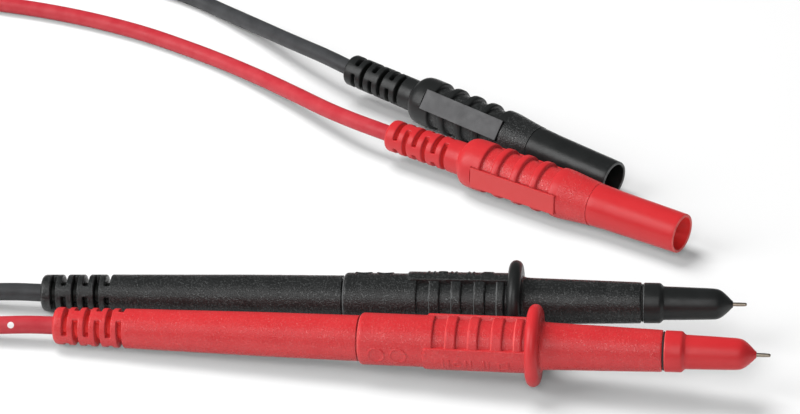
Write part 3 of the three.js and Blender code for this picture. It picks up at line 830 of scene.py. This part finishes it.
def plug_body(lead):
    """The plug's grip: slotted strain relief, shoulder, band, ribs, flat panels and cone."""
    first_slot, pitch, relief_r = 2.9, 2.4, 3.45
    slot_stations, web_angles = slot_grid(first_slot, pitch, relief_r)
    half = math.degrees(math.atan(PANEL_HALF_WIDTH / PANEL_HEIGHT))
    panel_edges = [turn + side * half for turn in (0, 180) for side in (-1, 1)]
    angles = web_angles + near_edges(panel_edges, 2.4) + list(np.arange(0, 360, 4.0))
    angles = one_turn(angles, 0.06)
    outline = plug_outline()
    rear = [row[0] for row in outline] + slot_stations + list(np.arange(EDGE, PANEL[0], 1.0))
    rear = [s for s in merged(rear, 0.03) if s < BAND]
    rows = bore_rows(2.45) + relief_rows(rear, outline, angles, first_slot, pitch)
    edges = list(PANEL) + list(PLUG_RECESS) + [edge for rib in PLUG_RIBS for edge in rib]
    front = merged(near_edges(edges, 0.4) + list(np.arange(BAND, GRIP_END, 0.7)) + [GRIP_END], 0.03)
    rows += [(s, plug_radii(s, angles)) for s in front if BAND <= s <= GRIP_END]
    rows += [(GRIP_END, INSERT_R), (29, INSERT_R), (29, BORE_R)]
    # the panels get a painted reflection and the slots painted light
    finishes = (satin[lead], eroded[lead], painted_panel_sheen[lead], bore_painted_light[lead])
    piece = skin(f"{lead}_plug_body", rows, angles, plug_at[lead], *finishes, pick=plug_surface)
    return finish_piece(piece, f"{lead}_lead", [f"{lead}_plug_grip"])


def plug_sleeve(lead):
    """The smooth shroud with its open mouth, and the insert behind it that carries the pin."""
    angles = list(np.arange(0, 360, 3.0))
    pin_bore, insert_start, insert_r = 2.0, 29.3, 3.45
    seam = GRIP_END + 0.02
    rows = [(insert_start, pin_bore), (insert_start, insert_r), (seam, insert_r), (seam, 4.4)]
    rows += [(GRIP_END + 0.07, 4.45), (GRIP_END + 0.2, 4.47), (52.2, 4.43), (53.5, 4.38), (55, 4.32)]
    rows += [(57.5, 4.28), (62, 4.22), (67, 4.16), (PLUG_END - 0.9, 4.11), (PLUG_END - 0.35, MOUTH_R)]
    rows += [(PLUG_END - 0.18, 4.07), (PLUG_END - 0.06, 4.0), (PLUG_END, 3.88), (PLUG_END, 3.66)]
    rows += [(PLUG_END - 0.06, 3.55), (PLUG_END - 0.2, 3.48), (PLUG_END - 0.5, MOUTH_BORE_R)]
    rows += [(62, MOUTH_BORE_R), (MOUTH_FLOOR + 0.2, MOUTH_BORE_R), (MOUTH_FLOOR, MOUTH_BORE_R - 0.1)]
    rows += [(MOUTH_FLOOR, pin_bore)]
    # the bore gets painted light and the rim a painted highlight
    finishes = (gloss[lead], bore_painted_light[lead], painted_highlight[lead])
    piece = skin(f"{lead}_plug_sleeve", rows, angles, plug_at[lead], *finishes, pick=shroud_surface)
    return finish_piece(piece, f"{lead}_lead", [f"{lead}_plug_shroud"])


def shroud_surface(station, radius):
    """Index of the shroud's finish: 0 outside, 1 in the bore with its painted light, 2 on the rim with its painted
    highlight.
    """
    on_rim = (station > PLUG_END - 0.22) & (radius > MOUTH_BORE_R + 0.01)
    in_mouth = (station > MOUTH_FLOOR) & (radius < 3.8)
    return np.where(on_rim, 2, in_mouth)


def pin(lead):
    """The plug's pin, with its solder cup behind and its neck inside the cage."""
    profile = [(23, 0.05), (23, 1.0), (18.5, 1.0), (18.5, 1.6), (18.6, 1.7), (55.2, 1.7), (55.3, 1.6),
               (55.3, 1.2), (65.1, 1.2), (65.1, 1.55), (65.2, 1.6), (66.5, 1.58), (67, 1.5), (67.4, 1.3),
               (67.65, 1.0), (67.78, 0.6), (67.8, 0.2), (67.8, 0.03)]
    piece = rod(f"{lead}_pin", profile, plug_at[lead], nickel, 40)
    return finish_piece(piece, f"{lead}_lead", [f"{lead}_plug_pin"])


def contact(lead):
    """The sprung cage: twelve bowed strips between two rings."""
    strips = 12
    slit_half = 3.5
    ring_width = 1.2
    start, end = CAGE
    slits = [360 / strips * i + side * slit_half for i in range(strips) for side in (-1, 1)]
    angles = one_turn(near_edges(slits, 1.5) + list(np.arange(0, 360, 6.0)), 0.2)
    centres = np.round(np.asarray(angles) * strips / 360) * 360 / strips
    from_slit = np.radians(angle_from(angles, centres) - slit_half) * 1.95
    rows = [(end, CAGE_BORE_R), (start, CAGE_BORE_R)]
    ring_edges = near_edges((start + ring_width, end - ring_width), 0.2)
    for station in merged(list(np.linspace(start, end, 27)) + ring_edges, 0.03):
        bow = CAGE_BOW * math.sin(math.pi * (station - start) / (end - start)) ** 0.8
        ring = max(start + ring_width - station, station - end + ring_width)
        depth = CAGE_END_R + bow - CAGE_BORE_R
        rows.append((station, CAGE_BORE_R + round_step(np.maximum(from_slit, ring), depth, 0.05)))
    piece = skin(f"{lead}_contact", rows, angles, plug_at[lead], brass)
    return finish_piece(piece, f"{lead}_lead", [f"{lead}_contact_cage"])


# ---- the cable -------------------------------------------------------------------------------
# Routes in metres, the same as the solids': probe to coil, and coil to plug.
COIL_CENTRE = {"black": (-0.1165, -0.003), "red": (-0.1285, 0.067)}
COIL_ENTRY = {"black": -82.0, "red": 180.0}  # where the bottom layer starts, in degrees
COIL_OUTER_TURN_R = 0.024325
COIL_INNER_TURN_R = 0.014175
COIL_LOW_Z = 0.00255
COIL_HIGH_Z = 0.00605
TURNS_PER_LAYER = 2.9
CLIMB_TURNS = 1 / 3
PROBE_RUN = {
    "black": (
        (-0.0748, -0.0275, 0.0035), (-0.081, -0.027, 0.0031), (-0.0885, -0.0268, 0.0025),
        (-0.0975, -0.0271, 0.00205), (-0.1055, -0.0273, 0.0022),
    ),
    "red": (
        (-0.0711, -0.0394, 0.0035), (-0.0775, -0.039, 0.0031), (-0.0855, -0.0383, 0.0024),
        (-0.0945, -0.0386, 0.00185), (-0.1045, -0.0403, 0.00175), (-0.1155, -0.0419, 0.00175),
        (-0.127, -0.0418, 0.00175), (-0.138, -0.0384, 0.00175), (-0.147, -0.0314, 0.00195),
        (-0.1528, -0.0218, 0.0033), (-0.1555, -0.011, 0.0052), (-0.1565, -0.001, 0.0056),
        (-0.1568, 0.009, 0.0046), (-0.1565, 0.019, 0.0027), (-0.1557, 0.03, 0.0018),
        (-0.1543, 0.043, 0.0018), (-0.1532, 0.055, 0.00225),
    ),
}
PLUG_RUN = {
    "black": (
        (-0.1385, -0.0163, 0.0046), (-0.1465, -0.0106, 0.0025), (-0.1555, -0.0054, 0.00175),
        (-0.165, 0.0005, 0.00175), (-0.1735, 0.009, 0.00175), (-0.1795, 0.021, 0.00175),
        (-0.182, 0.037, 0.00175), (-0.1815, 0.055, 0.00175), (-0.1775, 0.073, 0.00175),
        (-0.169, 0.089, 0.00175), (-0.156, 0.1015, 0.00175), (-0.1395, 0.1095, 0.00175),
        (-0.1205, 0.114, 0.00175), (-0.1005, 0.1164, 0.00175), (-0.0825, 0.116, 0.00175),
        (-0.0665, 0.113, 0.00175), (-0.055, 0.1082, 0.00175), (-0.0461, 0.1016, 0.00175),
        (-0.0405, 0.096, 0.002), (-0.0354, 0.0902, 0.0026), (-0.0305, 0.0842, 0.0034),
        (-0.0257, 0.0779, 0.0044), (-0.0211, 0.072, 0.00535), (-0.01695, 0.067, 0.00605),
        (-0.01375, 0.0632, 0.00642),
    ),
    "red": (
        (-0.1391, 0.0902, 0.0053), (-0.132, 0.0956, 0.0038), (-0.1235, 0.1002, 0.0024),
        (-0.1135, 0.1027, 0.0018), (-0.1025, 0.1022, 0.00175), (-0.0915, 0.0997, 0.00175),
        (-0.0831, 0.0971, 0.00175), (-0.0755, 0.0942, 0.00175), (-0.0665, 0.09, 0.00175),
        (-0.057, 0.0846, 0.00175), (-0.0473, 0.0778, 0.00175), (-0.0385, 0.0706, 0.00195),
        (-0.0298, 0.0619, 0.0026), (-0.0219, 0.0528, 0.0035), (-0.0151, 0.0446, 0.0044),
        (-0.0093, 0.0382, 0.00525), (-0.0051, 0.0346, 0.0055),
    ),
}
ROUTE_STEP = 0.0016
INSIDE = 15  # millimetres of the declared cord that lie inside the strain reliefs


def coil_points(lead):
    """Centreline of the coil: a layer spiralling in, a climb, and a layer spiralling out on top."""
    steps_per_turn = 30
    total = 2 * TURNS_PER_LAYER + CLIMB_TURNS
    points = []
    for i in range(round(total * steps_per_turn) + 1):
        turns = i / steps_per_turn
        climb = min(max((turns - TURNS_PER_LAYER) / CLIMB_TURNS, 0), 1)
        from_edge = min(turns, TURNS_PER_LAYER, max(total - turns, 0))
        share = from_edge / TURNS_PER_LAYER
        radius = COIL_OUTER_TURN_R + (COIL_INNER_TURN_R - COIL_OUTER_TURN_R) * share
        height = COIL_LOW_Z + (COIL_HIGH_Z - COIL_LOW_Z) * climb * climb * (3 - 2 * climb)
        angle = math.radians(COIL_ENTRY[lead] - 360 * turns)
        centre = COIL_CENTRE[lead]
        points.append((centre[0] + radius * math.cos(angle), centre[1] + radius * math.sin(angle), height))
    return points


def smooth_line(points, step):
    """A centripetal Catmull-Rom line through the points, sampled about every step metres."""
    p = np.asarray(points, float)
    p = np.vstack([2 * p[0] - p[1], p, 2 * p[-1] - p[-2]])
    line = []
    for i in range(1, len(p) - 2):
        a, b, c, d = p[i - 1 : i + 3]
        knots = np.cumsum([0, *(math.sqrt(np.linalg.norm(v - u)) for u, v in ((a, b), (b, c), (c, d)))])
        count = max(1, math.ceil(np.linalg.norm(c - b) / step))
        for t in np.linspace(knots[1], knots[2], count, endpoint=False):
            ab = blend(a, b, t, knots[0], knots[1])
            bc = blend(b, c, t, knots[1], knots[2])
            cd = blend(c, d, t, knots[2], knots[3])
            line.append(blend(blend(ab, bc, t, knots[0], knots[2]), blend(bc, cd, t, knots[1], knots[3]),
                              t, knots[1], knots[2]))
    line.append(p[-2])
    return np.array(line)


def blend(first, second, t, start, end):
    return first + (second - first) * ((t - start) / (end - start))


def cable(lead):
    """The whole free cable as one curve, with its ends inside the two strain reliefs."""
    in_probe = [on_axis(probe_at[lead], station) for station in (INSIDE, INSIDE / 2, 0.5)]
    in_plug = [on_axis(plug_at[lead], station) for station in (0.5, INSIDE / 2, INSIDE)]
    route = [*in_probe, *PROBE_RUN[lead], *coil_points(lead), *PLUG_RUN[lead], *in_plug]
    line = smooth_line(route, ROUTE_STEP)
    curve = bpy.data.curves.new(f"{lead}_cable", "CURVE")
    curve.dimensions = "3D"
    curve.bevel_depth = CABLE_R * MM
    curve.bevel_resolution = 5
    curve.use_fill_caps = True
    spline = curve.splines.new("POLY")
    spline.points.add(len(line) - 1)
    spline.points.foreach_set("co", np.hstack([line, np.ones((len(line), 1))]).ravel())
    spline.use_smooth = True
    curve.materials.append(jacket[lead])
    piece = linked(f"{lead}_cable", curve)
    nodes = [f"{lead}_{part}" for part in ("cord_probe_run", "cord_coil", "cord_plug_run")]
    finish_piece(piece, f"{lead}_lead", nodes)
    length = float(np.linalg.norm(np.diff(line, axis=0), axis=1).sum())
    return piece, in_probe[-1], length


def hidden_cable(lead):
    """The stretches of cable further inside the handle and the plug."""
    for part, matrix, start, end in (
        ("in_probe", probe_at[lead], INSIDE, 78),
        ("in_plug", plug_at[lead], INSIDE, 16.5),
    ):
        profile = [(start, 0.05), (start, CABLE_R), (end - 0.1, CABLE_R), (end, CABLE_R - 0.1), (end, 0.05)]
        piece = rod(f"{lead}_cable_{part}_end", profile, matrix, jacket[lead], 32)
        finish_piece(piece, f"{lead}_lead", [f"{lead}_cable_{part}"])


def tie_line():
    """Outline of the turns that the tie goes round: (distance from the coil's centre, height)."""
    inner, outer, bottom, top = 0.0121, 0.0263, 0.0006, 0.0080
    corner = 0.0016
    corners = ((inner, bottom, 180), (outer, bottom, 270), (outer, top, 0), (inner, top, 90))
    line = []
    for x, z, start in corners:
        middle_x = x + corner if x == inner else x - corner
        middle_z = z + corner if z == bottom else z - corner
        for i in range(7):
            angle = math.radians(start + 15 * i)
            line.append((middle_x + corner * math.cos(angle), middle_z + corner * math.sin(angle)))
    return np.array(line)


def tie(lead):
    """A hook-and-loop strap round the coil's turns."""
    half_width, thickness = 0.003, 0.0005
    low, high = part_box(f"{lead}_coil_tie")
    centre = np.array((*COIL_CENTRE[lead], 0))
    outward = (np.array(low) + np.array(high)) / 2 - centre
    outward[2] = 0
    outward /= np.linalg.norm(outward)
    sideways = np.cross((0, 0, 1), outward)
    line = tie_line()
    tangent = np.roll(line, -1, axis=0) - np.roll(line, 1, axis=0)
    normal = np.stack([tangent[:, 1], -tangent[:, 0]], axis=1)
    normal /= np.linalg.norm(normal, axis=1)[:, None]
    section = [(-1, 0.15), (-0.94, 0), (0.94, 0), (1, 0.15), (1, 0.85), (0.94, 1), (-0.94, 1), (-1, 0.85)]
    points = []
    for place, off in zip(line, normal):
        for side, depth in section:
            distance, height = place + off * thickness * depth
            point = centre + distance * outward + side * half_width * sideways
            points.append(point + np.array((0, 0, height)))
    piece = mesh_piece(f"{lead}_strap", points, grid_faces(len(line), len(section)), tie_fabric)
    return finish_piece(piece, f"{lead}_lead", [f"{lead}_coil_tie"])


INNER_METAL = {"contact_tube": brass, "core_in_probe": copper, "core_in_plug": copper}


def dress_inner_nodes(lead):
    """The sealed inner pieces keep their solids and get a metal each."""
    for node, material in INNER_METAL.items():
        mesh = frame["nodes"][f"{lead}_{node}"].data
        mesh.materials.clear()
        mesh.materials.append(material)


def build_lead(lead):
    """All the pieces of one lead, and its cable."""
    plug = [plug_body(lead), plug_sleeve(lead), pin(lead), contact(lead)]
    probe_sleeve(lead)
    probe_grip(lead)
    nose(lead)
    seal(lead)
    needle(lead)
    spring(lead)
    cord, exit_point, length = cable(lead)
    hidden_cable(lead)
    tie(lead)
    dress_inner_nodes(lead)


for lead in LEADS:
    build_lead(lead)


# ---- floor and light -------------------------------------------------------------------------
def add_floor():
    size = 3.0
    mesh = bpy.data.meshes.new("floor")
    corners = [(-size, -size, 0), (size, -size, 0), (size, size, 0), (-size, size, 0)]
    mesh.from_pydata(corners, [], [(0, 1, 2, 3)])
    finish = Finish("floor", (0.88, 0.88, 0.88), 0.9)
    mesh.materials.append(finish.mottle(0.2, (0.9, 0.9, 0.9)).material)
    linked("floor", mesh)


def add_area_light(name, place, size, power, highlights=True):
    data = bpy.data.lights.new(name, "AREA")
    data.shape = "RECTANGLE"
    data.size, data.size_y = size
    data.energy = power
    light = linked(name, data)
    light.location = place
    light.rotation_euler = (-Vector(place)).to_track_quat("-Z", "Y").to_euler()
    light.visible_glossy = highlights


def add_world():
    world = bpy.data.worlds.new("world")
    world.use_nodes = True
    background = world.node_tree.nodes["Background"]
    background.inputs["Color"].default_value = (1, 1, 1, 1)
    background.inputs["Strength"].default_value = 0.12
    bpy.context.scene.world = world


add_floor()
add_world()
add_area_light("key", (-0.6, 0.7, 1.5), (1.0, 1.0), 26, highlights=False)
add_area_light("left", (-0.88, -0.2, 0.55), (0.6, 0.8), 7)
add_area_light("front", (-0.1, -0.75, 0.65), (0.5, 0.75), 3.0)
bpy.context.scene.view_settings.view_transform = "Standard"
